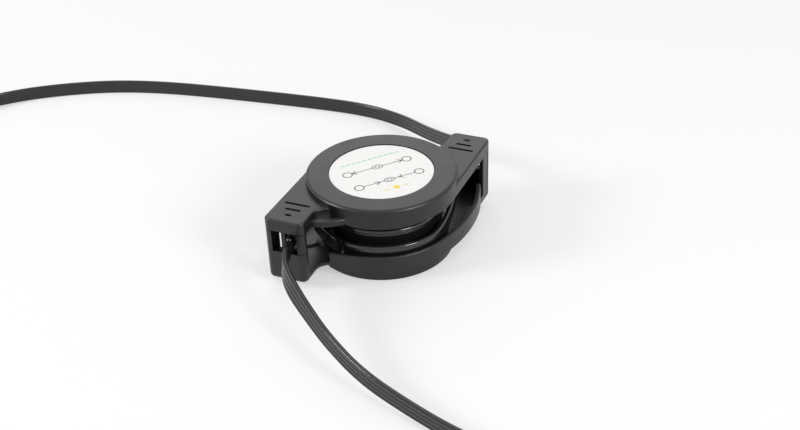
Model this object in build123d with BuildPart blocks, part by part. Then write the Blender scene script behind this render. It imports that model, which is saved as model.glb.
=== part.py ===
"""Retractable charging cable: a sprung reel in a round casing with two ears.

Millimetres, +Z up, origin at the centre of the foot's underside. The ears lie along Y, one on
each side of the disc, so the casing repeats itself after half a turn about Z.
"""
import os
from math import acos, atan2, cos, degrees, hypot, radians, sin, sqrt, tan

from build123d import *

os.makedirs("parts", exist_ok=True)

# Casing outline
casing_radius = 19.0
casing_height = 21.0
cap_depth = 4.8
cap_wall = 1.5
cap_roof = 1.8
cap_edge_round = 0.8
half_turns = (0, 180)

# Ears
ear_reach = 8.2
ear_overhang = 0.4
ear_width = 10.4
ear_step = 1.6
ear_bottom_z = 2.2
ear_roof = 1.6
ear_floor = 1.5
ear_corner = 1.6
ear_edge_round = 0.5
ear_keel_round = 1.2
ear_blend = 3.5
ear_blend_bite = 0.3
gate_thickness = 2.0
window_height = 5.6
gate_inner_leg = 1.7
window_width = 6.7

# Arrow of three grooves on each ear
groove_width = 0.8
groove_depth = 0.4
groove_lengths = (6.8, 4.2, 1.8)
groove_from_end = 8.2
groove_pitch = 2.5

# Lanyard eyelet beside the front ear
eyelet_thickness = 1.7
eyelet_from_end = 4.6
eyelet_disc_x = 1.6
eyelet_bulge = 0.9
eyelet_bar = 1.4
eyelet_round = 0.4

# Lower casing
foot_inset = 1.1
foot_height = 3.3
foot_floor = 1.6
foot_wall = 1.3
foot_edge_round = 0.6
flange_thickness = 1.0
side_wall = 1.0
side_wall_top_z = 7.7
side_wall_flank_radius = 42.0
side_wall_flank_angle = 23.0
side_wall_flare_radius = 35.0
side_wall_flare_angle = 70.0
side_wall_flare_end_x = 6.0
side_wall_horn_y = 18.7
side_wall_horn_z = 10.3
side_wall_horn_length = 6.0
side_wall_top_round = 0.4
support_ring_radius = 6.5
support_ring_wall = 1.2

# Centre post and screw
post_radius = 2.6
post_shoulder_radius = 3.6
post_shoulder_top_z = 4.4
post_slot_depth = 1.2
boss_radius = 3.2
boss_height = 2.2
screw_radius = 1.0
screw_head_radius = 2.3
screw_head_height = 0.9
screw_head_round = 0.3
screw_length = 8.0
screw_recess_length = 2.8
screw_recess_width = 0.6
screw_recess_depth = 0.5
screw_clearance = 0.1
running_clearance = 0.05
loose_clearance = 0.3

# Label
label_radius = 13.1
label_thickness = 0.15
label_recess_depth = 0.35
label_clearance = 0.2

# Spool
drum_radius = 10.2
drum_wall = 1.2
spool_flange_overhang = 0.2
spool_top_gap = 0.4
spool_flange_thickness = 1.9
spool_cap_thickness = 1.2
spool_bottom_z = 3.4
spool_cap_ring = 0.6

# Ball lock
ball_radius = 1.2
track_depth = 1.1
track_clearance = 0.15
track_rib = 0.7
track_margin = 0.5
crossover_count = 4
ball_slot_clearance = 0.08
ball_slot_wall = 1.0

# Spiral spring
spring_thickness = 0.3
spring_end_gap = 1.15
spring_inner_radius = 3.1
spring_half_turns = 10
spring_slot_clearance = 0.15

# Flat cable
cable_thickness = 1.2
cable_edge_chamfer = 0.35
strand_play = 1.0
coil_clearance = 0.05
coil_bottom_gap = 1.025
coil_top_gap = 0.325
coil_strand_step = 0.4
turn_height_steps = (0.0, 0.3, 0.1, 0.45)
lead_wall_gap = 0.3
lead_coil_gap = 0.5
lead_step = 35.0
lead_corner_count = 4
lead_gate_run = 7.0
lead_end_gap = 0.2
lead_tail = 4.2
arc_share = 0.45
gate_cable_offset = 1.3
gate_sill_gap = 0.025
gate_fall = 0.16
gate_exit_run = 3.9

# Charger plug
charger_grip_width = 15.6
charger_grip_thickness = 8.0
charger_grip_length = 24.0
charger_grip_round = 1.8
charger_shell_width = 12.0
charger_shell_thickness = 4.5
charger_shell_length = 11.8
charger_shell_wall = 0.3
charger_tongue_thickness = 1.9
charger_tongue_length = 11.0
charger_contact_xs = (-3.5, -1.0, 1.0, 3.5)
charger_contact_width = 1.0
charger_contact_length = 7.4
latch_window_width = 2.0
latch_window_length = 2.2
latch_window_x = 2.9
latch_window_from_tip = 5.2

# Phone plug
phone_grip_width = 10.6
phone_grip_thickness = 6.6
phone_grip_length = 19.0
phone_grip_round = 1.6
phone_shell_width = 6.85
phone_shell_thickness = 1.85
phone_shell_side_angle = 69.0
phone_shell_length = 6.2
phone_shell_wall = 0.25
phone_tongue_width = 4.0
phone_tongue_thickness = 0.6
phone_tongue_length = 5.4
phone_contact_count = 5
phone_contact_pitch = 0.65
phone_contact_width = 0.35
phone_contact_length = 4.2

# Shared by both plugs
contact_thickness = 0.12
plug_tail_width = 4.8
plug_tail_thickness = 5.6
plug_tail_length = 8.0
plug_tail_round = 1.2
grip_rib_count = 4
grip_rib_pitch = 2.0
grip_rib_width = 0.9
grip_rib_depth = 0.4

# Free cables outside the gates: x, y and the height of the cable's lower edge
back_points = [
    (10.4, 34.9, 8.9),
    (7.4, 38.6, 7.2),
    (2.2, 42.3, 5.1),
    (-7.1, 49.1, 2.6),
    (-17.6, 56.2, 1.2),
    (-30.9, 60.5, 0.4),
    (-47.1, 60.5, 0.1),
    (-75.1, 57.7, 0.1),
    (-98.2, 54.7, 0.1),
    (-115.1, 50.1, 0.1),
    (-129.1, 43.0, 0.1),
    (-140.6, 35.0, 0.1),
    (-149.0, 23.9, 0.7),
]
front_points = [
    (-10.4, -34.7, 9.2),
    (-6.6, -39.0, 8.1),
    (-0.3, -44.0, 6.4),
    (7.6, -49.9, 4.6),
    (18.4, -56.4, 2.8),
    (31.0, -60.8, 1.3),
    (44.4, -64.9, 0.5),
]

# Last run of each free cable, in line with its plug: x and y
back_last_run = [(-156.0, 14.1), (-161.0, 3.5)]
front_last_run = [(57.0, -67.7), (68.0, -67.6)]

# Values that follow from the sizes above
cap_lip_z = casing_height - cap_depth
ear_top_z = casing_height - ear_step
ear_end_y = casing_radius + ear_reach
ear_outer_x = casing_radius + ear_overhang
ear_inner_x = ear_outer_x - ear_width
ear_inner_y = ear_end_y - gate_thickness
window_x = ear_inner_x + gate_inner_leg + window_width / 2
gate_seam_z = cap_lip_z - window_height
eyelet_ear_y = ear_end_y - eyelet_from_end
foot_radius = casing_radius - foot_inset
roof_z = casing_height - cap_roof
post_top_z = roof_z - boss_height
label_floor_z = casing_height - label_recess_depth
spool_flange_top_z = cap_lip_z - spool_top_gap
drum_bottom_z = spool_bottom_z + spool_cap_thickness
drum_top_z = spool_flange_top_z - spool_flange_thickness
drum_inner_radius = drum_radius - drum_wall
cable_width = (drum_top_z - drum_bottom_z - strand_play) / 2
lower_strand_z = drum_bottom_z + coil_bottom_gap + cable_width / 2
upper_strand_z = drum_top_z - coil_top_gap - cable_width / 2
lead_radius = casing_radius - side_wall - lead_wall_gap - cable_thickness / 2
coil_outer_radius = lead_radius - cable_thickness / 2 - lead_coil_gap
upper_strand_radius = coil_outer_radius - coil_strand_step
coil_inner_radius = drum_radius + coil_clearance
gate_cable_x = window_x - gate_cable_offset
gate_cable_z = gate_seam_z + gate_sill_gap + cable_width / 2
spool_flange_radius = coil_outer_radius + spool_flange_overhang
track_width = 2 * (ball_radius + track_clearance)
track_inner_radius = spool_flange_radius - track_margin - 2 * track_width - track_rib
track_outer_radius = track_inner_radius + track_width + track_rib
ball_travel = track_width + track_rib
ball_rest_x = track_inner_radius + track_width / 2
ball_middle_x = ball_rest_x + ball_travel / 2
ball_z = spool_flange_top_z - track_depth + ball_radius + running_clearance
ball_slot_half = ball_radius + ball_slot_clearance
ball_guide_half = ball_slot_half + ball_slot_wall
ball_guide_z = spool_flange_top_z + loose_clearance
screw_seat_z = label_floor_z - screw_head_height - screw_clearance
spring_z = drum_bottom_z + spring_end_gap
spring_height = drum_top_z - spring_end_gap - spring_z
spring_slot_width = spring_thickness + 2 * spring_slot_clearance
gate_distance = hypot(gate_cable_x, ear_end_y)
lead_angle = degrees(atan2(ear_end_y, gate_cable_x) - acos(lead_radius / gate_distance))
flange_z = foot_height
flank_angle = radians(side_wall_flank_angle)
flank_x = (casing_radius - side_wall_flank_radius) * cos(flank_angle)
flank_y = (side_wall_flank_radius - casing_radius) * sin(flank_angle)
flare_angle = radians(side_wall_flare_angle)
flare_x = -(side_wall_flare_radius - casing_radius) * cos(flare_angle)
flare_y = (side_wall_flare_radius - casing_radius) * sin(flare_angle)
flare_end_angle = acos((-side_wall_flare_end_x - flare_x) / side_wall_flare_radius)


def ear_line():
    """Draws one ear's plan at +X, +Y, from inside the disc out to its end and back."""
    bite_radius = casing_radius - ear_blend_bite
    blend_x = ear_inner_x - ear_blend
    blend_y = sqrt((bite_radius + ear_blend) ** 2 - blend_x ** 2)
    share = bite_radius / (bite_radius + ear_blend)
    Polyline(
        (blend_x * share, blend_y * share),
        (blend_x * share, 0),
        (casing_radius, 0),
        (ear_outer_x, ear_end_y),
        (ear_inner_x, ear_end_y),
        (ear_inner_x, blend_y),
    )
    RadiusArc((ear_inner_x, blend_y), (blend_x * share, blend_y * share), ear_blend)


def side_wall_start(inset):
    """Gives the point where a side wall's face starts at the horn."""
    reach = sqrt((side_wall_flank_radius - inset) ** 2 - (side_wall_horn_y - flank_y) ** 2)
    return (flank_x + reach, side_wall_horn_y)


def side_wall_end(inset):
    """Gives the point where a side wall's face ends at the flare."""
    radius = side_wall_flare_radius - inset
    return (flare_x + radius * cos(flare_end_angle), flare_y - radius * sin(flare_end_angle))


def side_wall_line(inset):
    """Draws a side wall's outer face, or its inner one, from the horn to the flared end."""
    horn_angle = degrees(atan2(side_wall_horn_y - flank_y, side_wall_start(inset)[0] - flank_x))
    CenterArc(
        (flank_x, flank_y),
        side_wall_flank_radius - inset,
        horn_angle,
        -horn_angle - side_wall_flank_angle,
    )
    CenterArc(
        (0, 0),
        casing_radius - inset,
        -side_wall_flank_angle,
        side_wall_flank_angle - side_wall_flare_angle,
    )
    CenterArc(
        (flare_x, flare_y),
        side_wall_flare_radius - inset,
        -side_wall_flare_angle,
        side_wall_flare_angle - degrees(flare_end_angle),
    )


def side_wall_plan():
    """Draws the closed plan of a side wall."""
    side_wall_line(0)
    Line(side_wall_end(0), side_wall_end(side_wall))
    side_wall_line(side_wall)
    Line(side_wall_start(side_wall), side_wall_start(0))


def corner_radii(route):
    """Gives the arcs that take a fixed share of the shorter run at each corner of a route."""
    places = [Vector(*point) for point in route]
    radii = []
    for before, corner, after in zip(places, places[1:], places[2:]):
        first_run = corner - before
        second_run = after - corner
        half_turn = radians(first_run.get_angle(second_run)) / 2
        radii.append(arc_share * min(first_run.length, second_run.length) / tan(half_turn))
    return radii


def section_plane(path):
    """Gives the plane at a path's start on which the cable stands on edge."""
    heading = path.line % 0
    return Plane(origin=path.line @ 0, x_dir=Vector(0, 0, 1).cross(heading), z_dir=heading)


def plug_plane(route):
    """Gives the plane at a route's end that looks along the plug, with its width level."""
    heading = Vector(*route[-1]) - Vector(*route[-2])
    return Plane(origin=route[-1], x_dir=Vector(0, 0, 1).cross(heading), z_dir=heading)


def gate_point(run):
    """Gives a point on the straight line through the back gate, outside it where run is positive."""
    angle = radians(lead_angle)
    return (gate_cable_x - run * sin(angle), ear_end_y + run * cos(angle), gate_cable_z - run * gate_fall)


def round_point(radius, angle, height):
    """Gives a point at a radius, an angle in degrees and a height."""
    return (radius * cos(radians(angle)), radius * sin(radians(angle)), height)


def lead_route(strand_z, strand_radius):
    """Gives the way from the back gate down to the coil and clockwise round it."""
    corner_radius = lead_radius / cos(radians(lead_step / 2))
    touch_radius = strand_radius + lead_end_gap + cable_thickness / 2
    route = [gate_point(0), gate_point(-lead_gate_run)]
    for corner in range(lead_corner_count):
        angle = lead_angle - lead_step * (corner + 0.5)
        route.append(round_point(corner_radius, angle, strand_z))
    angle -= degrees(acos(touch_radius / corner_radius) + atan2(lead_tail, touch_radius))
    route.append(round_point(hypot(touch_radius, lead_tail), angle, strand_z))
    return route


def free_route(exit_points, points, last_run, plug_z):
    """Gives a free cable's way from a gate to its plug, which lies on the floor."""
    lying = [(x, y, edge_z + cable_width / 2) for x, y, edge_z in points]
    return exit_points + lying + [(x, y, plug_z) for x, y in last_run]


def half_turned(route):
    """Gives a route turned half round the casing's axis."""
    return [(-x, -y, z) for x, y, z in route]


# Upper casing: cap with two ears, gate legs, arrows, eyelet and ball slot
eyelet_ear_end = Vector(ear_inner_x, eyelet_ear_y)
eyelet_disc_end = Vector(eyelet_disc_x, sqrt(casing_radius ** 2 - eyelet_disc_x ** 2))
eyelet_middle = (eyelet_ear_end + eyelet_disc_end) / 2
eyelet_along = (eyelet_disc_end - eyelet_ear_end).normalized()
eyelet_out = Vector(eyelet_along.Y, -eyelet_along.X)
eyelet_crest = eyelet_middle + eyelet_out * eyelet_bulge
eyelet_inward = eyelet_out * -eyelet_bar

with BuildPart() as upper_casing:
    for turn in half_turns:
        with BuildSketch(Plane.XY.offset(cap_lip_z).rotated((0, 0, turn))) as ear_plan:
            with BuildLine():
                ear_line()
            make_face()
            fillet(ear_plan.vertices().sort_by(Axis.Y)[-2:], ear_corner)
        extrude(amount=ear_top_z - cap_lip_z)
    fillet(upper_casing.faces().filter_by_position(Axis.Z, ear_top_z, ear_top_z).edges(), ear_edge_round)
    with BuildSketch(Plane.XY.offset(cap_lip_z)):
        Circle(casing_radius)
    extrude(amount=casing_height - cap_lip_z)
    fillet(upper_casing.faces().sort_by(Axis.Z)[-1].edges(), cap_edge_round)
    with BuildSketch(Plane.XY.offset(cap_lip_z).rotated((0, 0, 180))):
        with BuildLine():
            ThreePointArc(eyelet_ear_end, eyelet_crest, eyelet_disc_end)
            Line(eyelet_disc_end, eyelet_disc_end + eyelet_inward)
            ThreePointArc(
                eyelet_disc_end + eyelet_inward,
                eyelet_crest + eyelet_inward,
                eyelet_ear_end + eyelet_inward,
            )
            Line(eyelet_ear_end + eyelet_inward, eyelet_ear_end)
        make_face()
    extrude(amount=eyelet_thickness)
    for edge_z in (cap_lip_z, cap_lip_z + eyelet_thickness):
        crest = (-eyelet_crest.X, -eyelet_crest.Y, edge_z)
        fillet(upper_casing.edges().sort_by_distance(crest)[0], eyelet_round)
    with BuildSketch(Plane.XY.offset(cap_lip_z)):
        Circle(casing_radius - cap_wall)
    extrude(amount=roof_z - cap_lip_z, mode=Mode.SUBTRACT)
    for turn in half_turns:
        turned = Plane.XY.rotated((0, 0, turn))
        with BuildSketch(turned.offset(cap_lip_z)):
            with Locations((window_x, ear_inner_y / 2)):
                Rectangle(window_width, ear_inner_y)
        extrude(amount=ear_top_z - ear_roof - cap_lip_z, mode=Mode.SUBTRACT)
        with BuildSketch(turned.offset(gate_seam_z)) as gate_plan:
            with BuildLine():
                ear_line()
            make_face()
            fillet(gate_plan.vertices().sort_by(Axis.Y)[-2:], ear_corner)
            with Locations((window_x, ear_end_y - gate_thickness / 2)):
                Rectangle(2 * ear_width, gate_thickness, mode=Mode.INTERSECT)
                Rectangle(window_width, gate_thickness, mode=Mode.SUBTRACT)
        extrude(amount=cap_lip_z - gate_seam_z)
        with BuildSketch(turned.offset(ear_top_z)):
            for place, groove_length in enumerate(groove_lengths):
                with Locations((window_x, ear_end_y - groove_from_end + place * groove_pitch)):
                    SlotOverall(groove_length, groove_width)
        extrude(amount=-groove_depth, mode=Mode.SUBTRACT)
    with BuildSketch(Plane.XY.offset(post_top_z)):
        Circle(boss_radius)
    extrude(amount=roof_z - post_top_z)
    with BuildSketch(Plane.XY.offset(ball_guide_z)):
        with Locations((ball_middle_x, 0)):
            Rectangle(ball_travel + 2 * ball_guide_half, 2 * ball_guide_half)
    extrude(amount=roof_z - ball_guide_z)
    with BuildSketch(Plane.XY.offset(ball_guide_z)):
        with Locations((ball_middle_x, 0)):
            SlotCenterToCenter(ball_travel, 2 * ball_slot_half)
    extrude(amount=ball_z + ball_slot_half - ball_guide_z, mode=Mode.SUBTRACT)
    with BuildSketch(Plane.XY.offset(casing_height)):
        Circle(label_radius + label_clearance)
    extrude(amount=-label_recess_depth, mode=Mode.SUBTRACT)
    with Locations((0, 0, label_floor_z)):
        CounterBoreHole(
            radius=screw_radius + screw_clearance,
            counter_bore_radius=screw_head_radius + screw_clearance,
            counter_bore_depth=label_floor_z - screw_seat_z,
            depth=label_floor_z - post_top_z,
        )
upper_casing.part.label = "upper_casing"
export_step(upper_casing.part, "parts/upper_casing.step")

# Lower casing: foot, side walls, ear floors with gate walls, and the centre post
with BuildPart() as lower_casing:
    with BuildSketch(Plane.XY.offset(ear_bottom_z)) as floor_plan:
        with BuildLine():
            ear_line()
        make_face()
        fillet(floor_plan.vertices().sort_by(Axis.Y)[-2:], ear_corner)
    extrude(amount=gate_seam_z - ear_bottom_z)
    fillet(lower_casing.faces().sort_by(Axis.Z)[0].edges(), ear_keel_round)
    with BuildSketch(Plane.XY.offset(ear_bottom_z + ear_floor)):
        with Locations((ear_outer_x / 2, ear_inner_y / 2)):
            Rectangle(2 * ear_outer_x, ear_inner_y)
    extrude(amount=gate_seam_z - ear_bottom_z, mode=Mode.SUBTRACT)
    with BuildSketch(Plane.XY.offset(flange_z)):
        with BuildLine():
            side_wall_line(0)
            Polyline(side_wall_end(0), (0, 0), side_wall_start(0))
        make_face()
    extrude(amount=flange_thickness)
    with BuildSketch(Plane.XY.offset(flange_z)):
        with BuildLine():
            side_wall_plan()
        make_face()
    extrude(amount=side_wall_top_z - flange_z)
    with BuildSketch(Plane.XY.offset(side_wall_top_z)):
        with BuildLine():
            side_wall_plan()
        make_face()
        with Locations((casing_radius, side_wall_horn_y - side_wall_horn_length / 2)):
            Rectangle(casing_radius, side_wall_horn_length, mode=Mode.INTERSECT)
    extrude(amount=side_wall_horn_z - side_wall_top_z)
    with BuildSketch(Plane.YZ.offset(casing_radius / 2)):
        with BuildLine():
            horn_start = (side_wall_horn_y - side_wall_horn_length, side_wall_top_z)
            horn_tip = (side_wall_horn_y, side_wall_horn_z)
            TangentArc(horn_start, horn_tip, tangent=(1, 0))
            Polyline(horn_tip, (horn_start[0], side_wall_horn_z), horn_start)
        make_face()
    extrude(amount=casing_radius, mode=Mode.SUBTRACT)
    wall_tops = lower_casing.edges().filter_by(
        lambda edge: edge.bounding_box().min.Z > flange_z + flange_thickness
        and edge.center().Y < side_wall_horn_y
        and edge.length > side_wall
    )
    fillet(wall_tops, side_wall_top_round)
    add(lower_casing.part, rotation=(0, 0, 180))
    with BuildSketch():
        Circle(foot_radius)
    extrude(amount=flange_z + flange_thickness)
    fillet(lower_casing.faces().sort_by(Axis.Z)[0].edges(), foot_edge_round)
    with BuildSketch(Plane.XY.offset(foot_floor)):
        Circle(foot_radius - foot_wall)
    extrude(amount=gate_seam_z, mode=Mode.SUBTRACT)
    with BuildSketch(Plane.XY.offset(foot_floor)):
        Circle(support_ring_radius)
        Circle(support_ring_radius - support_ring_wall, mode=Mode.SUBTRACT)
    extrude(amount=spool_bottom_z - loose_clearance - foot_floor)
    with BuildSketch(Plane.XY.offset(foot_floor)):
        Circle(post_shoulder_radius)
    extrude(amount=post_shoulder_top_z - foot_floor)
    with BuildSketch(Plane.XY.offset(foot_floor)):
        Circle(post_radius)
    extrude(amount=post_top_z - foot_floor)
    with BuildSketch(Plane.XY.offset(spring_z - loose_clearance)):
        with Locations((post_radius, -spring_thickness / 2)):
            Rectangle(2 * post_slot_depth, spring_slot_width)
    extrude(amount=spring_height + 2 * loose_clearance, mode=Mode.SUBTRACT)
    with BuildSketch(Plane.XY.offset(post_top_z)):
        Circle(screw_radius + running_clearance)
    extrude(amount=screw_seat_z - screw_length - running_clearance - post_top_z, mode=Mode.SUBTRACT)
lower_casing.part.label = "lower_casing"
export_step(lower_casing.part, "parts/lower_casing.step")

# Label: thin round sticker in the recess of the cap
with BuildPart() as label:
    with BuildSketch(Plane.XY.offset(label_floor_z)):
        Circle(label_radius)
    extrude(amount=label_thickness)
label.part.label = "label"
export_step(label.part, "parts/label.step")

# Casing screw under the label, with a cross recess
with BuildPart() as casing_screw:
    with BuildSketch(Plane.XY.offset(screw_seat_z)):
        Circle(screw_head_radius)
    extrude(amount=screw_head_height)
    fillet(casing_screw.faces().sort_by(Axis.Z)[-1].edges(), screw_head_round)
    with BuildSketch(Plane.XY.offset(screw_seat_z)):
        Circle(screw_radius)
    extrude(amount=-screw_length)
    with BuildSketch(Plane.XY.offset(screw_seat_z + screw_head_height)):
        Rectangle(screw_recess_length, screw_recess_width)
        Rectangle(screw_recess_width, screw_recess_length)
    extrude(amount=-screw_recess_depth, mode=Mode.SUBTRACT)
casing_screw.part.label = "casing_screw"
export_step(casing_screw.part, "parts/casing_screw.step")

# Spool: drum with an upper flange that carries two ball tracks and their crossovers
with BuildPart() as spool:
    with BuildSketch(Plane.XY.offset(drum_bottom_z)):
        Circle(drum_radius)
        Circle(drum_inner_radius, mode=Mode.SUBTRACT)
        with Locations((drum_inner_radius, spring_thickness / 2)):
            Rectangle(drum_wall, spring_slot_width, mode=Mode.SUBTRACT)
    extrude(amount=drum_top_z - drum_bottom_z)
    with BuildSketch(Plane.XY.offset(drum_top_z)):
        Circle(spool_flange_radius)
        Circle(post_radius + running_clearance, mode=Mode.SUBTRACT)
    extrude(amount=spool_flange_thickness)
    for track_radius in (track_inner_radius, track_outer_radius):
        with BuildSketch(Plane.XY.offset(spool_flange_top_z)):
            Circle(track_radius + track_width)
            Circle(track_radius, mode=Mode.SUBTRACT)
        extrude(amount=-track_depth, mode=Mode.SUBTRACT)
    with BuildSketch(Plane.XY.offset(spool_flange_top_z)):
        with PolarLocations(ball_middle_x, crossover_count):
            Rectangle(ball_travel, track_width)
    extrude(amount=-track_depth, mode=Mode.SUBTRACT)
spool.part.label = "spool"
export_step(spool.part, "parts/spool.step")

# Spool cap: lower flange, with a ring that locates it in the drum
with BuildPart() as spool_cap:
    with BuildSketch(Plane.XY.offset(spool_bottom_z)):
        Circle(spool_flange_radius)
        Circle(post_shoulder_radius + running_clearance, mode=Mode.SUBTRACT)
    extrude(amount=spool_cap_thickness)
    with BuildSketch(Plane.XY.offset(drum_bottom_z)):
        Circle(drum_inner_radius - running_clearance)
        Circle(drum_inner_radius - drum_wall, mode=Mode.SUBTRACT)
    extrude(amount=spool_cap_ring)
spool_cap.part.label = "spool_cap"
export_step(spool_cap.part, "parts/spool_cap.step")

# Main spring: a spiral of half turns, with one end in the post and the other in the drum
spring_outer_radius = drum_inner_radius - spring_thickness
spring_step = (spring_outer_radius - spring_inner_radius) / spring_half_turns
spring_half = spring_thickness / 2
spring_inner_tab_x = post_radius - post_slot_depth + spring_slot_clearance
spring_outer_tab_x = drum_inner_radius + drum_wall / 2 - spring_slot_clearance

with BuildPart() as main_spring:
    with BuildSketch(Plane.XY.offset(spring_z)):
        with BuildLine():
            for half in range(spring_half_turns):
                half_x = (half % 2 - 0.5) * spring_step
                half_radius = spring_inner_radius + (half + 0.5) * spring_step
                CenterArc((half_x, 0), half_radius - spring_half, 180 * (half % 2), 180)
                CenterArc((half_x, 0), half_radius + spring_half, 180 * (half % 2), 180)
            Polyline(
                (spring_inner_radius + spring_half, 0),
                (spring_inner_radius + spring_half, -spring_thickness),
                (spring_inner_tab_x, -spring_thickness),
                (spring_inner_tab_x, 0),
                (spring_inner_radius - spring_half, 0),
            )
            Polyline(
                (spring_outer_radius + spring_half, 0),
                (spring_outer_tab_x, 0),
                (spring_outer_tab_x, spring_thickness),
                (spring_outer_radius - spring_half, spring_thickness),
                (spring_outer_radius - spring_half, 0),
            )
        make_face()
    extrude(amount=spring_height)
main_spring.part.label = "main_spring"
export_step(main_spring.part, "parts/main_spring.step")

# Lock ball, in the inner track at rest
with BuildPart() as lock_ball:
    with Locations((ball_rest_x, 0, ball_z)):
        Sphere(ball_radius)
lock_ball.part.label = "lock_ball"
export_step(lock_ball.part, "parts/lock_ball.step")

# Cable coil: two strands, one above the other, with each turn at its own height
with BuildPart() as cable_coil:
    with BuildSketch(Plane.XZ):
        for strand_z, strand_radius in (
            (lower_strand_z, coil_outer_radius),
            (upper_strand_z, upper_strand_radius),
        ):
            turn_pitch = (strand_radius - coil_inner_radius) / len(turn_height_steps)
            for turn, drop in enumerate(turn_height_steps):
                with Locations((coil_inner_radius + (turn + 0.5) * turn_pitch, strand_z - drop)):
                    Rectangle(turn_pitch, cable_width)
    revolve(axis=Axis.Z)
cable_coil.part.label = "cable_coil"
export_step(cable_coil.part, "parts/cable_coil.step")

# Leads: from the coil to the two gates
back_lead_route = lead_route(lower_strand_z, coil_outer_radius)
front_lead_route = half_turned(lead_route(upper_strand_z, upper_strand_radius))

with BuildPart() as lead_back:
    with BuildLine() as lead_back_path:
        FilletPolyline(*back_lead_route, radius=corner_radii(back_lead_route))
    with BuildSketch(section_plane(lead_back_path)) as lead_back_section:
        Rectangle(cable_thickness, cable_width)
        chamfer(lead_back_section.vertices(), cable_edge_chamfer)
    sweep()
lead_back.part.label = "lead_back"
export_step(lead_back.part, "parts/lead_back.step")

with BuildPart() as lead_front:
    with BuildLine() as lead_front_path:
        FilletPolyline(*front_lead_route, radius=corner_radii(front_lead_route))
    with BuildSketch(section_plane(lead_front_path)) as lead_front_section:
        Rectangle(cable_thickness, cable_width)
        chamfer(lead_front_section.vertices(), cable_edge_chamfer)
    sweep()
lead_front.part.label = "lead_front"
export_step(lead_front.part, "parts/lead_front.step")

# Free cables: from the gates to the plugs
gate_exit = [gate_point(0), gate_point(gate_exit_run)]
back_route = free_route(gate_exit, back_points, back_last_run, charger_grip_thickness / 2)
front_route = free_route(half_turned(gate_exit), front_points, front_last_run, phone_grip_thickness / 2)

with BuildPart() as cable_back:
    with BuildLine() as cable_back_path:
        FilletPolyline(*back_route, radius=corner_radii(back_route))
    with BuildSketch(section_plane(cable_back_path)) as cable_back_section:
        Rectangle(cable_thickness, cable_width)
        chamfer(cable_back_section.vertices(), cable_edge_chamfer)
    sweep()
cable_back.part.label = "cable_back"
export_step(cable_back.part, "parts/cable_back.step")

with BuildPart() as cable_front:
    with BuildLine() as cable_front_path:
        FilletPolyline(*front_route, radius=corner_radii(front_route))
    with BuildSketch(section_plane(cable_front_path)) as cable_front_section:
        Rectangle(cable_thickness, cable_width)
        chamfer(cable_front_section.vertices(), cable_edge_chamfer)
    sweep()
cable_front.part.label = "cable_front"
export_step(cable_front.part, "parts/cable_front.step")

# Charger plug on the back cable
charger_tail = plug_plane(back_route)
charger_body = charger_tail.offset(plug_tail_length)
charger_front = charger_tail.offset(charger_grip_length)
charger_inner_width = charger_shell_width - 2 * charger_shell_wall
charger_inner_thickness = charger_shell_thickness - 2 * charger_shell_wall
charger_tongue_top = charger_tongue_thickness - charger_inner_thickness / 2

with BuildPart() as charger_plug_grip:
    with BuildSketch(charger_tail):
        RectangleRounded(plug_tail_width, plug_tail_thickness, plug_tail_round)
    with BuildSketch(charger_body):
        RectangleRounded(charger_grip_width, charger_grip_thickness, charger_grip_round)
    loft()
    with BuildSketch(charger_body):
        RectangleRounded(charger_grip_width, charger_grip_thickness, charger_grip_round)
    extrude(amount=charger_grip_length - plug_tail_length)
    for rib in range(grip_rib_count):
        with BuildSketch(charger_body.offset((rib + 0.5) * grip_rib_pitch)):
            Rectangle(2 * charger_grip_width, 2 * charger_grip_thickness)
            RectangleRounded(
                charger_grip_width - 2 * grip_rib_depth,
                charger_grip_thickness - 2 * grip_rib_depth,
                charger_grip_round - grip_rib_depth,
                mode=Mode.SUBTRACT,
            )
        extrude(amount=grip_rib_width, mode=Mode.SUBTRACT)
charger_plug_grip.part.label = "charger_plug_grip"
export_step(charger_plug_grip.part, "parts/charger_plug_grip.step")

with BuildPart() as charger_plug_shell:
    with BuildSketch(charger_front):
        Rectangle(charger_shell_width, charger_shell_thickness)
        Rectangle(charger_inner_width, charger_inner_thickness, mode=Mode.SUBTRACT)
    extrude(amount=charger_shell_length)
    latch_place = charger_front.offset(charger_shell_length - latch_window_from_tip)
    with BuildSketch(Plane(origin=latch_place.origin, x_dir=latch_place.x_dir, z_dir=latch_place.y_dir)):
        with Locations((-latch_window_x, 0), (latch_window_x, 0)):
            Rectangle(latch_window_width, latch_window_length)
    extrude(amount=charger_shell_thickness, both=True, mode=Mode.SUBTRACT)
charger_plug_shell.part.label = "charger_plug_shell"
export_step(charger_plug_shell.part, "parts/charger_plug_shell.step")

with BuildPart() as charger_plug_tongue:
    with BuildSketch(charger_front):
        with Locations((0, charger_tongue_top - charger_tongue_thickness / 2)):
            Rectangle(charger_inner_width, charger_tongue_thickness)
    extrude(amount=charger_tongue_length)
charger_plug_tongue.part.label = "charger_plug_tongue"
export_step(charger_plug_tongue.part, "parts/charger_plug_tongue.step")

with BuildPart() as charger_plug_contacts:
    with BuildSketch(charger_front):
        for contact_x in charger_contact_xs:
            with Locations((contact_x, charger_tongue_top + contact_thickness / 2)):
                Rectangle(charger_contact_width, contact_thickness)
    extrude(amount=charger_contact_length)
charger_plug_contacts.part.label = "charger_plug_contacts"
export_step(charger_plug_contacts.part, "parts/charger_plug_contacts.step")

# Phone plug on the front cable
phone_tail = plug_plane(front_route)
phone_body = phone_tail.offset(plug_tail_length)
phone_front = phone_tail.offset(phone_grip_length)

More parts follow.
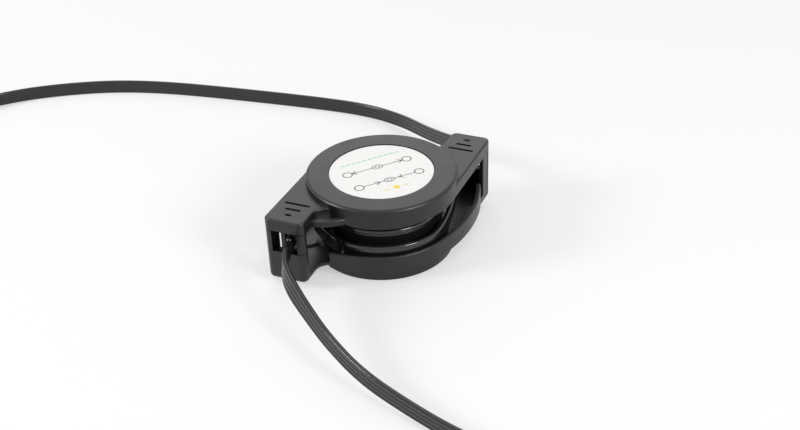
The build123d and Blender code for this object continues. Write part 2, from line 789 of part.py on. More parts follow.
with BuildPart() as phone_plug_grip:
    with BuildSketch(phone_tail):
        RectangleRounded(plug_tail_width, plug_tail_thickness, plug_tail_round)
    with BuildSketch(phone_body):
        RectangleRounded(phone_grip_width, phone_grip_thickness, phone_grip_round)
    loft()
    with BuildSketch(phone_body):
        RectangleRounded(phone_grip_width, phone_grip_thickness, phone_grip_round)
    extrude(amount=phone_grip_length - plug_tail_length)
    for rib in range(grip_rib_count):
        with BuildSketch(phone_body.offset((rib + 0.5) * grip_rib_pitch)):
            Rectangle(2 * phone_grip_width, 2 * phone_grip_thickness)
            RectangleRounded(
                phone_grip_width - 2 * grip_rib_depth,
                phone_grip_thickness - 2 * grip_rib_depth,
                phone_grip_round - grip_rib_depth,
                mode=Mode.SUBTRACT,
            )
        extrude(amount=grip_rib_width, mode=Mode.SUBTRACT)
phone_plug_grip.part.label = "phone_plug_grip"
export_step(phone_plug_grip.part, "parts/phone_plug_grip.step")

with BuildPart() as phone_plug_shell:
    with BuildSketch(phone_front):
        Trapezoid(phone_shell_width, phone_shell_thickness, phone_shell_side_angle)
        offset(amount=-phone_shell_wall, mode=Mode.SUBTRACT)
    extrude(amount=phone_shell_length)
phone_plug_shell.part.label = "phone_plug_shell"
export_step(phone_plug_shell.part, "parts/phone_plug_shell.step")

with BuildPart() as phone_plug_tongue:
    with BuildSketch(phone_front):
        Rectangle(phone_tongue_width, phone_tongue_thickness)
    extrude(amount=phone_tongue_length)
phone_plug_tongue.part.label = "phone_plug_tongue"
export_step(phone_plug_tongue.part, "parts/phone_plug_tongue.step")

with BuildPart() as phone_plug_contacts:
    with BuildSketch(phone_front):
        with Locations((0, -(phone_tongue_thickness + contact_thickness) / 2)):
            with GridLocations(phone_contact_pitch, 0, phone_contact_count, 1):
                Rectangle(phone_contact_width, contact_thickness)
    extrude(amount=phone_contact_length)
phone_plug_contacts.part.label = "phone_plug_contacts"
export_step(phone_plug_contacts.part, "parts/phone_plug_contacts.step")

# Radii, lengths and volumes of the cables
for cable, path, section, route in (
    (lead_back, lead_back_path, lead_back_section, back_lead_route),
    (lead_front, lead_front_path, lead_front_section, front_lead_route),
    (cable_back, cable_back_path, cable_back_section, back_route),
    (cable_front, cable_front_path, cable_front_section, front_route),
):
    length = sum(edge.length for edge in path.edges())
    filled = cable.part.volume / (section.sketch.area * length)
    print(f"{cable.part.label}: length {length:.1f} mm, volume over section times length {filled:.3f}")
    print("arc radii, mm:", [round(radius, 1) for radius in corner_radii(route)])
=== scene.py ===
# %% [markdown]
# # A retractable charging cable
# A flat cable is wound on a sprung spool inside a round black casing with two ears. One end
# of the cable leaves each ear through a gate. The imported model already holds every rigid
# piece in its place, so this lesson adds what a solid model can't show well: the ribbed flat
# cable, its wound turns, the rims of the ears, the printed sticker, and a finish for every
# surface.

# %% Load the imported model
from math import cos, pi, radians, sin

import bmesh
import bpy
from mathutils import Matrix, Vector


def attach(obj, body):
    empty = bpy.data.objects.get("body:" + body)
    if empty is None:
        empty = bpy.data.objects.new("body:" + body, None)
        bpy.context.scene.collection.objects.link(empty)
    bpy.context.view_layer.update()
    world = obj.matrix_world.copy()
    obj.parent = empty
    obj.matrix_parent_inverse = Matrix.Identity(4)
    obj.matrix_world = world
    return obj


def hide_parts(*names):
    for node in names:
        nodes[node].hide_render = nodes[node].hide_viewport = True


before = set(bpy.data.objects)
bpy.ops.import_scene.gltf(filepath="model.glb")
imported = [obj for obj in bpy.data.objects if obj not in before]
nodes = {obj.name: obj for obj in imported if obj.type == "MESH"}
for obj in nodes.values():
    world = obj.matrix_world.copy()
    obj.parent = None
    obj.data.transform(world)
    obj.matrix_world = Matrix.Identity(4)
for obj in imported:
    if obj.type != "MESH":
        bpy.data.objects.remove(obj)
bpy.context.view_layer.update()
scene = bpy.context.scene
MM = 0.001
print("pieces in the packed model:", len(nodes))

# %% [markdown]
# ## Camera
# The photograph was taken from the front and a little to the right, about 33 degrees above
# the table. A camera can be aimed with a constraint, but a matrix whose columns are the
# picture's right, its up and the direction back to the camera also holds the small roll.

# %% Camera at the photograph's view
CAMERA_PLACE = Vector((105.94, -234.48, 173.16)) * MM


def add_object(name, data):
    """Puts new data into the scene as an object at the origin."""
    made = bpy.data.objects.new(name, data)
    scene.collection.objects.link(made)
    return made


turn, rise, roll = radians(23.38), radians(32.76), radians(-2.22)
back = Vector((sin(turn) * cos(rise), -cos(turn) * cos(rise), sin(rise)))
level = Vector((cos(turn), sin(turn), 0))
upright = back.cross(level)
right = level * cos(roll) + upright * sin(roll)
up = upright * cos(roll) - level * sin(roll)
lens = bpy.data.cameras.new("photo_camera")
lens.sensor_fit = "HORIZONTAL"
lens.sensor_width = 36
lens.lens = 54
lens.clip_start = 0.005
camera = add_object("photo_camera", lens)
facing = Matrix((right, up, back)).transposed().to_4x4()
camera.matrix_world = Matrix.Translation(CAMERA_PLACE) @ facing
scene.camera = camera
print("camera at", [round(c, 3) for c in CAMERA_PLACE])

# %% [markdown]
# ## Flat cable: its section
# The real cable is four wires side by side in one soft jacket, so each broad face has four low
# ribs with a groove between. A plain box would lose those lines. The section is a small closed
# curve: its control points step out at each rib and in at each groove, and the spline rounds
# them. The photograph shows the ribs on the free cable and hardly on the wound one, so the
# wound cable has a flatter section of its own.

# %% Sections of the free and the wound cable
CABLE_WIDTH = 4.15 * MM


def add_nurbs(curve, places, closed, leans=()):
    """Adds a smooth spline with these control points, and leans in degrees, to a curve."""
    spline = curve.splines.new("NURBS")
    spline.points.add(len(places) - 1)
    for point, place in zip(spline.points, places):
        point.co = (*place, 1)
    for point, lean in zip(spline.points, leans):
        point.tilt = radians(lean)
    spline.order_u = 3
    spline.use_cyclic_u = closed
    spline.use_endpoint_u = not closed


def cable_section(name, rib, groove, edge):
    """Makes the closed outline of the cable from its half thicknesses in millimetres."""
    pitch = CABLE_WIDTH / 8
    one_face = [((rib if k % 2 else groove) * MM, k * pitch) for k in range(-3, 4)]
    one_face = [(edge * MM, -4 * pitch), *one_face, (edge * MM, 4 * pitch)]
    curve = bpy.data.curves.new(name, "CURVE")
    curve.resolution_u = 3
    add_nurbs(curve, [(x, y, 0) for x, y in one_face] + [(-x, -y, 0) for x, y in one_face], True)
    print(name, "has", 2 * len(one_face), "control points")
    return add_object(name, curve)


free_section = cable_section("free_section", 0.66, 0.40, 0.46)
wound_section = cable_section("wound_section", 0.62, 0.57, 0.42)

# %% [markdown]
# ## Flat cable: the ribbon
# A cable bends in one smooth line, with no straight stretches between corners, so the line is
# a NURBS spline with a few control points. The section could be extruded step by step, but a
# curve with a bevel object does it in one go. Its twist is set to Z-up, because this cable
# stands on its edge. The bare line is read first, since a free cord has to say what line it
# follows. Then the tube becomes a mesh, its ends are merged, and its UV map counts metres
# along the cable, for the finish.


# %% Ribbon along a route
def read_mesh(holder):
    """Gives a new mesh of what a curve object shows."""
    shown = holder.evaluated_get(bpy.context.evaluated_depsgraph_get())
    return bpy.data.meshes.new_from_object(shown)


def finish_piece(name, bm, body):
    """Makes a piece from a bmesh and the body that it rides."""
    mesh = bpy.data.meshes.new(name)
    bm.to_mesh(mesh)
    bm.free()
    piece = add_object(name, mesh)
    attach(piece, body)
    print(name, "has", len(mesh.polygons), "faces")
    return piece


def ribbon(name, route, section, steps, body, leans=()):
    """Makes the cable along a route in millimetres, and gives the piece and its line."""
    curve = bpy.data.curves.new(name + "_line", "CURVE")
    curve.dimensions = "3D"
    curve.twist_mode = "Z_UP"
    curve.resolution_u = steps
    add_nurbs(curve, [Vector(place) * MM for place in route], False, leans)
    holder = add_object(name + "_line", curve)
    line = [v.co.copy() for v in read_mesh(holder).vertices]
    length = sum((b - a).length for a, b in zip(line, line[1:]))
    curve.bevel_mode = "OBJECT"
    curve.bevel_object = section
    curve.use_fill_caps = True
    bm = bmesh.new()
    bm.from_mesh(read_mesh(holder))
    bpy.data.objects.remove(holder)
    bmesh.ops.remove_doubles(bm, verts=bm.verts, dist=1e-7)
    bmesh.ops.recalc_face_normals(bm, faces=bm.faces)
    metres = bm.loops.layers.uv.active
    for face in bm.faces:
        face.smooth = len(face.verts) == 4
        for loop in face.loops:
            loop[metres].uv.y *= length
    print(name, "is", round(length, 4), "m long")
    return finish_piece(name, bm, body), line


# %% [markdown]
# ## The two free cables
# Both leave their gate on edge, curve down and lie on the table. The front one leans over a
# little where it bends. The far ends carry the charger plug and the phone plug, and nothing
# else holds them.

# %% Free cables
ROUTE_STEPS = 14
back_route = [
    (12.75, 27.2, 12.7), (12.1, 31.05, 12.08), (10.4, 34.9, 10.97), (7.4, 38.6, 9.28),
    (2.2, 42.3, 7.17), (-7.1, 49.1, 4.67), (-17.6, 56.2, 3.27), (-30.9, 60.5, 2.47),
    (-47.1, 60.5, 2.17), (-75.1, 57.7, 2.17), (-98.2, 54.7, 2.17), (-115.1, 50.1, 2.17),
    (-129.1, 43.0, 2.17), (-140.6, 35.0, 2.17), (-149.0, 23.9, 2.77), (-156.0, 14.1, 4.0),
    (-161.0, 3.5, 4.0),
]
front_route = [
    (-12.75, -27.2, 12.7), (-12.1, -31.05, 12.08), (-10.4, -34.7, 11.27), (-6.6, -39.0, 10.17),
    (-0.3, -44.0, 8.47), (7.6, -49.9, 6.67), (18.4, -56.4, 4.88), (31.0, -60.8, 3.38),
    (44.4, -64.9, 2.57), (57.0, -67.7, 3.3), (68.0, -67.6, 3.3),
]
front_leans = (0, 0, -12, -25, -15, -8, -4)
cables = {}
for name, route, leans, length, plug in (
    ("cable_back", back_route, (), 0.2107, "charger_plug"),
    ("cable_front", front_route, front_leans, 0.0961, "phone_plug"),
):
    cable, line = ribbon(name + "_ribbed", route, free_section, ROUTE_STEPS, "casing", leans)
    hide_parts(name)
    cables[name] = cable

# %% [markdown]
# ## The leads inside the casing
# From each gate the cable runs into the casing and round the coil until it joins the outer
# turn. These stretches show through the open sides beside the wound turns, so they have the
# same flatter section.

# %% Leads from the gates to the coil
lead_routes = {
    "lead_back": [
        (12.75, 27.2, 12.7), (13.92, 20.3, 13.82), (17.76, -2.47, 7.7), (13.13, -12.21, 7.7),
        (3.75, -17.53, 7.7), (-6.98, -16.51, 7.7), (-14.59, -9.33, 7.7),
    ],
    "lead_front": [
        (-12.75, -27.2, 12.7), (-13.92, -20.3, 13.82), (-17.76, 2.47, 11.5),
        (-13.13, 12.21, 11.5), (-3.75, 17.53, 11.5), (6.98, 16.51, 11.5), (14.82, 8.18, 11.5),
    ],
}
for name, route in lead_routes.items():
    cables[name], line = ribbon(name + "_ribbed", route, wound_section, ROUTE_STEPS, "casing")
    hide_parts(name)

# %% [markdown]
# ## The wound turns
# Two strands lie one above the other on the spool, four turns each. Turns that were pulled
# in by a spring never lie at quite the same height, so each turn has its own small step. A
# screw modifier could wind a spiral, but a formula for the route's points lets each turn sit
# at its own height. The strands are ribbons too, and they ride on the spool.

# %% Coil of two strands
TURNS = 4
TURN_POINTS = 16
STRAND_STEPS = 4
INNER_RADIUS = 10.9
turn_heights = (0.0, 0.12, 0.04, 0.16)


def strand_route(outer, height, side):
    """Gives the spiral of one strand, from outside to inside."""
    route = []
    for step in range(TURNS * TURN_POINTS + 1):
        share = step / TURN_POINTS
        radius = outer - (outer - INNER_RADIUS) * share / TURNS
        lower = turn_heights[min(int(share), TURNS - 1)]
        angle = side - 2 * pi * share
        route.append((radius * cos(angle), radius * sin(angle), height - lower))
    return route


for name, outer, height, side in (
    ("coil_lower_strand", 15.35, 6.85, radians(-145)),
    ("coil_upper_strand", 14.75, 10.5, radians(35)),
):
    route = strand_route(outer, height, side)
    cables[name], line = ribbon(name, route, wound_section, STRAND_STEPS, "spool")
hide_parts("cable_coil")
bpy.data.objects.remove(free_section)
bpy.data.objects.remove(wound_section)

# %% [markdown]
# ## Rims of the ears
# The ears are open at their outer side, and the moulding has a raised rim there: an upright
# strip beside the gate and a low kerb along the floor. The rim is one flat L shape. It could
# be joined from two boxes, but six points and one extrude leave no joint to hide. The second
# rim is the first, turned half round.

# %% Two L-shaped rims
RIM_INNER_X = 18.2
RIM_THICKNESS = 1.12
RIM_EDGE = 0.15
rim_outline = [(18.9, 3.5), (25.6, 3.5), (25.6, 16.3), (21.8, 16.3), (21.8, 4.9), (18.9, 4.9)]
rims = []
for name, half_turn in (("back_ear_rim", 0), ("front_ear_rim", pi)):
    bm = bmesh.new()
    corners = [bm.verts.new(Vector((RIM_INNER_X, y, z)) * MM) for y, z in rim_outline]
    grown = bmesh.ops.extrude_face_region(bm, geom=[bm.faces.new(corners)])["geom"]
    moved = [v for v in grown if isinstance(v, bmesh.types.BMVert)]
    bmesh.ops.translate(bm, verts=moved, vec=(RIM_THICKNESS * MM, 0, 0))
    bmesh.ops.bevel(
        bm, geom=bm.edges[:], offset=RIM_EDGE * MM, segments=2, profile=0.5, affect="EDGES",
        material=-1,
    )
    whole_turn = Matrix.Rotation(half_turn, 3, "Z")
    bmesh.ops.rotate(bm, verts=bm.verts, cent=(0, 0, 0), matrix=whole_turn)
    bmesh.ops.recalc_face_normals(bm, faces=bm.faces)
    rims.append(finish_piece(name, bm, "casing"))

# %% [markdown]
# ## Print on the sticker: strokes
# Such stickers carry a few thin printed strokes. Print could be painted in the film's shader,
# but strokes with their own faces stay sharp from every side. Each stroke is a flat shape: a
# bar, a ring or an arrow head, turned to the print's direction and set on the sticker.

# %% Bars, rings and arrow heads
PRINT_TURN = radians(48.6)
LABEL_TOP = 20.8 * MM


def set_on_label(bm, verts, u, v, turn=0.0):
    """Turns new strokes, and moves them to their place on the sticker."""
    to_place = Matrix.Translation((u * MM, v * MM, 0)) @ Matrix.Rotation(turn, 4, "Z")
    to_label = Matrix.Translation((0, 0, LABEL_TOP)) @ Matrix.Rotation(PRINT_TURN, 4, "Z")
    bmesh.ops.transform(bm, matrix=to_label @ to_place, verts=verts)


def bar(bm, u, v, length, width, turn=0.0):
    """Adds a straight stroke about its middle."""
    size = Matrix.Diagonal((length * MM, width * MM, 1, 1))
    made = bmesh.ops.create_grid(bm, x_segments=1, y_segments=1, size=0.5, matrix=size)
    set_on_label(bm, made["verts"], u, v, turn)


def ring(bm, u, v, radius, width, squash=1.0):
    """Adds a round or oval outline."""
    loops = []
    for reach in (radius, radius - width):
        size = Matrix.Diagonal((reach * MM, reach * squash * MM, 1, 1))
        loops.append(bmesh.ops.create_circle(bm, segments=28, radius=1, matrix=size)["verts"])
    edges = {edge for loop in loops for vert in loop for edge in vert.link_edges}
    bmesh.ops.bridge_loops(bm, edges=list(edges))
    set_on_label(bm, loops[0] + loops[1], u, v)


def arrow(bm, u, v, side):
    """Adds an arrow head that points along the row, to one side or the other."""
    for lean in (-1, 1):
        bar(bm, u - side * 0.55, v + lean * 0.4, 1.4, 0.24, -side * lean * radians(36))


print("the print lies", round(LABEL_TOP / MM, 2), "mm above the table")

# %% [markdown]
# ## Print on the sticker: three inks
# The sticker has two grey rows, a green dashed line and a yellow mark. All strokes of one ink
# are one piece, thickened by a hundredth of a millimetre. Flat faces can point down by chance,
# so those are turned over before they get their thickness.

# %% Strokes in three inks
INK = 0.012 * MM


def ink_piece(name, bm):
    """Thickens the strokes of one ink and makes them a piece of the casing."""
    bm.normal_update()
    bmesh.ops.reverse_faces(bm, faces=[face for face in bm.faces if face.normal.z < 0])
    bmesh.ops.solidify(bm, geom=bm.faces[:], thickness=-INK)
    bmesh.ops.recalc_face_normals(bm, faces=bm.faces)
    return finish_piece(name, bm, "casing")


grey = bmesh.new()
for row, side in ((2.4, 1), (-4.6, -1)):
    ring(grey, 0, row, 1.5, 0.24, 0.7)
    ring(grey, 0, row, 0.8, 0.24, 0.7)
    for end in (-1, 1):
        bar(grey, end * 4.2, row, 5.4, 0.22)
        arrow(grey, end * (6.9 if side > 0 else 2.6), row, end * side)
        ring(grey, end * 8.2, row, 1.3, 0.26)
green = bmesh.new()
for place in range(-5, 6):
    bar(green, place * 1.5, 6.8, 1.1, 0.36)
yellow = bmesh.new()
bar(yellow, 0, -8.6, 1.5, 1.5, radians(45))
bar(yellow, -2.6, -8.6, 1.6, 0.3)
bar(yellow, 2.6, -8.6, 1.6, 0.3)
strokes = {"label_ink_grey": grey, "label_ink_green": green, "label_ink_yellow": yellow}
inks = {name: ink_piece(name, bm) for name, bm in strokes.items()}

# %% [markdown]
# ## Helpers for shaders
# Every finish below is a small network of nodes. Nodes could be added and linked line by line,
# but most differ only in their kind and in what goes into them, so three helpers do that: one
# for any node, one for a sum or a comparison, and one that maps a range onto another.


# %% Helpers that add and link nodes
def join(tree, kind, values=(), links=(), **settings):
    """Adds a node, sets its sockets and properties, and links other sockets into it."""
    made = tree.nodes.new(kind)
    for key, value in settings.items():
        setattr(made, key, value)
    for key, value in dict(values).items():
        made.inputs[key].default_value = value
    for key, source in dict(links).items():
        tree.links.new(source, made.inputs[key])
    return made


def maths(tree, operation, *terms):
    """Adds a maths node whose terms are sockets or plain numbers, and gives its result."""
    values = {place: term for place, term in enumerate(terms) if isinstance(term, float)}
    links = {place: term for place, term in enumerate(terms) if place not in values}
    return join(tree, "ShaderNodeMath", values, links, operation=operation).outputs[0]


def span(tree, value, low, high, start=0.0, end=1.0):
    """Maps a socket's range from start to end onto low to high, and gives the result."""
    ends = {"From Min": start, "From Max": end, "To Min": low, "To Max": high}
    return join(tree, "ShaderNodeMapRange", ends, {"Value": value}).outputs[0]


# %% [markdown]
# ## White floor
# A small product is usually photographed on white paper. The floor is nearly white and takes
# the object's soft shadow. To the camera and to reflections it also glows, more with the
# distance, so that it joins the white background without an edge, while the light that it
# throws on the object stays at a plain level.

# %% Round floor of glowing paper
FLOOR_RADIUS = 4.0
NEARLY_WHITE = (0.955, 0.955, 0.955, 1)


def seen_rays(tree):
    """Gives a socket that is 1 for rays from the camera and from gloss or glass."""
    path = join(tree, "ShaderNodeLightPath").outputs
    seen = maths(tree, "MAXIMUM", path["Is Camera Ray"], path["Is Glossy Ray"])
    return maths(tree, "MAXIMUM", seen, path["Is Transmission Ray"])


bm = bmesh.new()
bmesh.ops.create_circle(bm, cap_ends=True, segments=96, radius=FLOOR_RADIUS)
floor_mesh = bpy.data.meshes.new("floor")
bm.to_mesh(floor_mesh)
bm.free()
floor = add_object("floor", floor_mesh)
paper = bpy.data.materials.new("white_paper")
paper.use_nodes = True
tree = paper.node_tree
tree.nodes.clear()
where = join(tree, "ShaderNodeTexCoord").outputs["Object"]
away = join(tree, "ShaderNodeVectorMath", {}, {0: where}, operation="LENGTH").outputs["Value"]
share = maths(tree, "MULTIPLY", seen_rays(tree), span(tree, away, 0.5, 1.0, 0.2, 0.6))
matte = join(tree, "ShaderNodeBsdfDiffuse", {"Color": (0.89, 0.89, 0.885, 1)}).outputs[0]
glow = join(tree, "ShaderNodeEmission", {"Color": NEARLY_WHITE}).outputs[0]
mixed = join(tree, "ShaderNodeMixShader", {}, {"Fac": share, 1: matte, 2: glow}).outputs[0]
join(tree, "ShaderNodeOutputMaterial", {}, {"Surface": mixed})
floor_mesh.materials.append(paper)
print("floor", 2 * FLOOR_RADIUS, "m across")

# %% [markdown]
# ## White room
# The background is as white as the paper. A room that bright would wash out the shadows, so
# only what the camera and reflections see is that white. The light of the room is weaker.

# %% World with two brightnesses
world = bpy.data.worlds.new("white_room")
scene.world = world
world.use_nodes = True
tree = world.node_tree
tree.nodes.clear()
room = join(tree, "ShaderNodeBackground", {"Strength": 0.6}).outputs[0]
white = join(tree, "ShaderNodeBackground", {"Color": NEARLY_WHITE, "Strength": 1.0}).outputs[0]
mixed = join(tree, "ShaderNodeMixShader", {}, {"Fac": seen_rays(tree), 1: room, 2: white})
join(tree, "ShaderNodeOutputWorld", {}, {"Surface": mixed.outputs[0]})
print("world:", world.name)

# %% [markdown]
# ## Lamps
# Two broad lamps, above and behind, light the casing's top. The wound cable lies under the
# cap's lip, where no high lamp reaches, so a small lamp low at each side puts the bright lines
# on its ridges. Each lamp is turned to the object's foot.

# %% Four lamps
for name, place, size, power in (
    ("overhead_lamp", (0.05, 0.15, 0.8), 0.7, 0.9),
    ("back_lamp", (-0.3, 0.69, 0.49), 0.6, 0.9),
    ("left_lamp", (-0.59, -0.38, 0.38), 0.22, 3.4),
    ("right_lamp", (0.65, -0.28, 0.38), 0.22, 3.4),
):
    light = bpy.data.lights.new(name, "AREA")
    light.size = size
    light.energy = power
    lamp = add_object(name, light)
    lamp.location = place
    lamp.rotation_euler = (-Vector(place)).to_track_quat("-Z", "Y").to_euler()
scene.view_settings.view_transform = "Standard"

# %% [markdown]
# ## Shared finish: grain, patches, and rubbed edges with a painted highlight
# Moulded plastic isn't one flat colour. The mould's surface leaves a fine grain, the sheen
# wanders a little over larger patches, and edges are rubbed by handling. Their lighter colour
# is also a painted highlight along the edges. An edge could be marked by hand, but a Bevel
# node finds it: there the rounded normal differs from the face's own. One node group holds
# all that, and each plastic places it with its own values.


# %% Node group with grain, patches and edges
def new_group(name, takes, gives):
    """Makes a shader node group with the named sockets."""
    group = bpy.data.node_groups.new(name, "ShaderNodeTree")
    for label, kind, value in takes:
        socket = group.interface.new_socket(label, in_out="INPUT", socket_type=kind)
        socket.default_value = value
    for label, kind in gives:
        group.interface.new_socket(label, in_out="OUTPUT", socket_type=kind)
    inside = group.nodes.new("NodeGroupInput").outputs
    return group, inside, group.nodes.new("NodeGroupOutput").inputs


moulded, given, result = new_group(
    "moulded_finish",
    [
        ("Colour", "NodeSocketColor", (0.02, 0.02, 0.02, 1)),
        ("Rubbed And Highlight Colour", "NodeSocketColor", (0.05, 0.05, 0.05, 1)),
        ("Roughness", "NodeSocketFloat", 0.45),
        ("Mottle", "NodeSocketFloat", 0.15),
        ("Grains Per Metre", "NodeSocketFloat", 5000.0),
        ("Edge Radius", "NodeSocketFloat", 0.0003),
    ],
    [
        ("Color", "NodeSocketColor"),
        ("Roughness", "NodeSocketFloat"),
        ("Height", "NodeSocketFloat"),
    ],
)
where = join(moulded, "ShaderNodeTexCoord").outputs["Object"]
grain = join(
    moulded, "ShaderNodeTexNoise", {"Detail": 3.0, "Roughness": 0.6},
    {"Vector": where, "Scale": given["Grains Per Metre"]},
).outputs["Fac"]
patches = join(
    moulded, "ShaderNodeTexNoise", {"Scale": 160.0, "Detail": 4.0}, {"Vector": where}
).outputs["Fac"]
rounded = join(moulded, "ShaderNodeBevel", {}, {"Radius": given["Edge Radius"]}, samples=4).outputs[0]
flat = join(moulded, "ShaderNodeNewGeometry").outputs["Normal"]
alike = join(
    moulded, "ShaderNodeVectorMath", {}, {0: rounded, 1: flat}, operation="DOT_PRODUCT"
).outputs["Value"]
# Edge colour mask: rubbed wear, and also a painted highlight along every edge.
worn_and_highlit = maths(moulded, "MULTIPLY", span(moulded, alike, 0.0, 1.0, 0.99, 0.8), patches)
print("group:", moulded.name, "takes", len(given) - 1, "values")

# %% [markdown]
# ## Shared finish: colour and sheen
# The patches make the colour a little lighter and darker, and the roughness higher and lower.
# Where an edge is rubbed, the edge colour comes through: rubbed wear and a painted highlight.
# The group puts out the colour, the roughness and the grain's height, and the shader itself
# stays in each material.

# %% Colour and sheen of the moulded finish
swing = span(moulded, patches, -1.0, 1.0, 0.3, 0.7)
mottled = maths(moulded, "MULTIPLY_ADD", swing, given["Mottle"], 1.0)
toned = join(
    moulded, "ShaderNodeVectorMath", {}, {0: given["Colour"], "Scale": mottled}, operation="SCALE"
).outputs[0]
tint = join(
    moulded, "ShaderNodeMix", {}, {"Factor": worn_and_highlit, "A": toned, "B": given["Rubbed And Highlight Colour"]},
    data_type="RGBA",
).outputs["Result"]
sheen = span(moulded, patches, 0.9, 1.12, 0.3, 0.7)
rough = maths(moulded, "MULTIPLY", sheen, given["Roughness"])
for label, source in (("Color", tint), ("Roughness", rough), ("Height", grain)):
    moulded.links.new(source, result[label])
print("group:", moulded.name, "with", len(moulded.nodes), "nodes")

# %% [markdown]
# ## Plastics
# The casing and the spool are moulded in black, the plug grips in a softer dark plastic, and
# the sticker is a white film under three inks. A black plastic is nearly pure black: what one
# sees of it is the white room in its gloss. So its colour is very low, and its roughness sets
# how it looks. All of them use the shared finish.


# %% Plastics of the casing, the spool, the plugs and the sticker
def new_material(name):
    """Gives a material, its tree and its Principled shader."""
    material = bpy.data.materials.new(name)
    material.use_nodes = True
    return material, material.node_tree, material.node_tree.nodes["Principled BSDF"]


def surface(tree, shader, colour, roughness, height, strength, depth):
    """Links a colour, a roughness and a bump of this depth in metres into a shader."""
    bump = join(
        tree, "ShaderNodeBump", {"Strength": strength, "Distance": depth}, {"Height": height}
    )
    tree.links.new(colour, shader.inputs["Base Color"])
    tree.links.new(roughness, shader.inputs["Roughness"])
    tree.links.new(bump.outputs[0], shader.inputs["Normal"])


def plastic(name, colour, rubbed_and_highlit, roughness, grains, depth, mottle=0.15):
    """Makes a moulded plastic from the shared finish."""
    material, tree, shader = new_material(name)
    values = {
        "Colour": (*colour, 1), "Rubbed And Highlight Colour": (*rubbed_and_highlit, 1), "Roughness": roughness,
        "Grains Per Metre": grains, "Mottle": mottle,
    }
    finish = join(tree, "ShaderNodeGroup", values, node_tree=moulded).outputs
    surface(tree, shader, finish["Color"], finish["Roughness"], finish["Height"], 1.0, depth)
    return material


def dress(material, *names):
    """Gives CAD nodes a material."""
    for name in names:
        mesh = nodes[name].data
        mesh.materials.clear()
        mesh.materials.append(material)
    print(material.name, "on", len(names), "pieces of the packed model")


BLACK = (0.004, 0.004, 0.0042)
# The second colour of each plastic is its edge colour: rubbed wear and a painted highlight.
casing_black = plastic("casing_black", BLACK, (0.012, 0.012, 0.012), 0.36, 4500, 0.00001)
spool_black = plastic("spool_black", BLACK, (0.01, 0.01, 0.01), 0.4, 3500, 0.000006)
grip_black = plastic(
    "grip_black", (0.022, 0.022, 0.024), (0.06, 0.06, 0.06), 0.55, 6000, 0.000012
)
tongue_black = plastic(
    "tongue_black", (0.018, 0.018, 0.02), (0.05, 0.05, 0.05), 0.35, 7000, 0.000004
)
film_white = plastic(
    "film_white", (0.77, 0.765, 0.75), (0.72, 0.715, 0.7), 0.4, 3000, 0.000002, 0.01
)
dress(casing_black, "upper_casing", "lower_casing")
dress(spool_black, "spool", "spool_cap")
dress(grip_black, "charger_plug_grip", "phone_plug_grip")
dress(tongue_black, "charger_plug_tongue", "phone_plug_tongue")
dress(film_white, "label")
for piece in rims:
    piece.data.materials.append(casing_black)
# The last colour of each ink is its edge colour: worn ink and a painted highlight.
for name, colour, edge_wear_and_highlight in (
    ("label_ink_grey", (0.05, 0.05, 0.05), (0.1, 0.1, 0.1)),
    ("label_ink_green", (0.2, 0.55, 0.4), (0.3, 0.62, 0.48)),
    ("label_ink_yellow", (0.72, 0.58, 0.1), (0.76, 0.64, 0.2)),
):
    inks[name].data.materials.append(plastic(name, colour, edge_wear_and_highlight, 0.5, 9000, 0.000002, 0.1))

# %% [markdown]
# ## Parting line and painted shade under the roof plate
# Where two mouldings meet at the ears, a thin dark gap runs round the gate. Higher up, under
# the edge of the roof plate, a second dark line is painted shade. They could be cut into the
# mesh, but the imported pieces stay as they are, so a mask draws them: 1 within a tenth of a
# millimetre of each line's height, and only at the ears. A gap is dark because it reflects
# nothing. A metal reflects only its own colour, so the mask feeds Metallic, and the black
# casing loses its gloss along both lines.

# %% A seam and a line of painted shade round the gates
seam_and_shade, given, result = new_group(
    "seam_and_painted_shade_line",
    [
        ("Height", "NodeSocketFloat", 0.0162),
        ("Half Width", "NodeSocketFloat", 0.0001),
        ("From Y", "NodeSocketFloat", 0.0195),
    ],
    [("Mask", "NodeSocketFloat")],
)
where = join(seam_and_shade, "ShaderNodeTexCoord").outputs["Object"]
axes = join(seam_and_shade, "ShaderNodeSeparateXYZ", {}, {0: where}).outputs
near = maths(seam_and_shade, "COMPARE", axes["Z"], given["Height"], given["Half Width"])
reach = maths(seam_and_shade, "ABSOLUTE", axes["Y"])
beyond = maths(seam_and_shade, "GREATER_THAN", reach, given["From Y"])
seam_and_shade.links.new(maths(seam_and_shade, "MULTIPLY", near, beyond), result["Mask"])
tree = casing_black.node_tree
# The line at 16.2 mm is painted shade under the roof plate's edge; the one at 10.6 mm is the seam.
masks = [
    join(
        tree, "ShaderNodeGroup", {"Height": height, "From Y": from_y}, node_tree=seam_and_shade
    ).outputs["Mask"]
    for height, from_y in ((0.0162, 0.0195), (0.0106, 0.0252))
]
both = maths(tree, "MAXIMUM", *masks)
tree.links.new(both, tree.nodes["Principled BSDF"].inputs["Metallic"])
print("parting lines:", len(masks))

# %% [markdown]
# ## Cable jacket
# The jacket is soft, extruded plastic: smoother than a moulding, with faint drag lines along
# its length. The ribbon's UV map says how far along the cable a point is, so the lines follow
# every bend. In the photograph the lines on the wound stretches are brighter than the free
# cable's gloss gives, so they have the same jacket with more gloss.


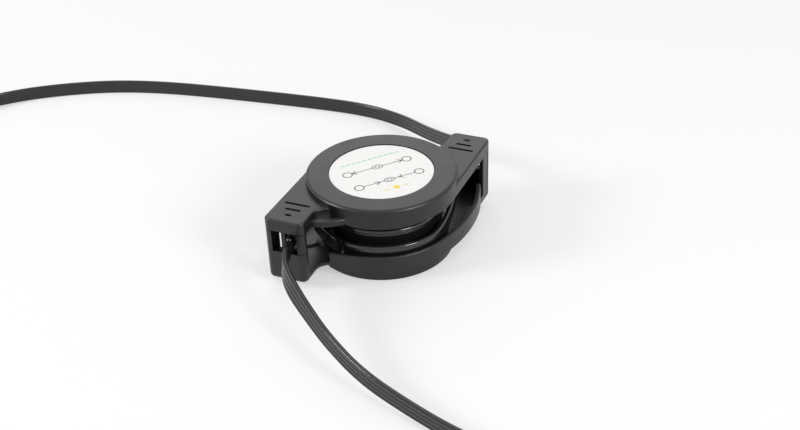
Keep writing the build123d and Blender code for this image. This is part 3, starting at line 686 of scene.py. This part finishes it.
# %% Jacket of the flat cable
def jacket(name, gloss):
    """Makes the cable's jacket with this strength of its gloss."""
    material, tree, shader = new_material(name)
    shader.inputs["Specular IOR Level"].default_value = gloss
    where = join(tree, "ShaderNodeTexCoord").outputs["Object"]
    metres = join(tree, "ShaderNodeUVMap", uv_map="UVMap").outputs[0]
    drawn = join(tree, "ShaderNodeMapping", {"Scale": (60.0, 120.0, 1.0)}, {"Vector": metres})
    drag = join(
        tree, "ShaderNodeTexNoise", {"Scale": 1.0, "Detail": 3.0}, {"Vector": drawn.outputs[0]}
    ).outputs["Fac"]
    skin = join(tree, "ShaderNodeTexNoise", {"Scale": 2600.0, "Detail": 2.0}, {"Vector": where})
    tone = join(
        tree, "ShaderNodeMix", {"A": (0.006, 0.006, 0.0064, 1), "B": (0.011, 0.011, 0.0115, 1)},
        {"Factor": drag}, data_type="RGBA",
    ).outputs["Result"]
    surface(tree, shader, tone, span(tree, drag, 0.12, 0.18), skin.outputs["Fac"], 0.6, 0.000006)
    return material


free_jacket = jacket("cable_jacket_black", 0.5)
wound_jacket = jacket("cable_jacket_wound", 0.7)
for name, piece in cables.items():
    piece.data.materials.append(free_jacket if name.startswith("cable_") else wound_jacket)
    print(name, "wears", piece.data.materials[0].name)

# %% [markdown]
# ## Metals
# The plug shells are plated sheet, the contacts are gilded, and the spring, ball and screw are
# steel. Metal shows its making in its roughness: rolled sheet has fine lines, plating is
# nearly smooth. A picture of scratches could show that, but noise stretched along one axis
# does it at any size.


# %% Plated shells, gilded contacts and steel
def metal(name, colour, rough_low, rough_high, stretch, scale):
    """Makes a metal whose sheen wanders along stretched lines."""
    material, tree, shader = new_material(name)
    shader.inputs["Metallic"].default_value = 1.0
    where = join(tree, "ShaderNodeTexCoord").outputs["Object"]
    drawn = join(tree, "ShaderNodeMapping", {"Scale": stretch}, {"Vector": where}).outputs[0]
    lines = join(
        tree, "ShaderNodeTexNoise", {"Scale": scale, "Detail": 4.0}, {"Vector": drawn}
    ).outputs["Fac"]
    tone = join(
        tree, "ShaderNodeMix", {"A": (*[c * 0.82 for c in colour], 1), "B": (*colour, 1)},
        {"Factor": lines}, data_type="RGBA",
    ).outputs["Result"]
    surface(tree, shader, tone, span(tree, lines, rough_low, rough_high), lines, 0.4, 0.000004)
    return material


plated = metal("plated_sheet", (0.78, 0.78, 0.77), 0.16, 0.34, (1, 1, 6), 900)
gilded = metal("gilded_contact", (0.92, 0.7, 0.32), 0.15, 0.3, (1, 1, 1), 1500)
steel = metal("spring_steel", (0.5, 0.5, 0.52), 0.25, 0.45, (1, 1, 8), 700)
dress(plated, "charger_plug_shell", "phone_plug_shell")
dress(gilded, "charger_plug_contacts", "phone_plug_contacts")
dress(steel, "main_spring", "lock_ball", "casing_screw")
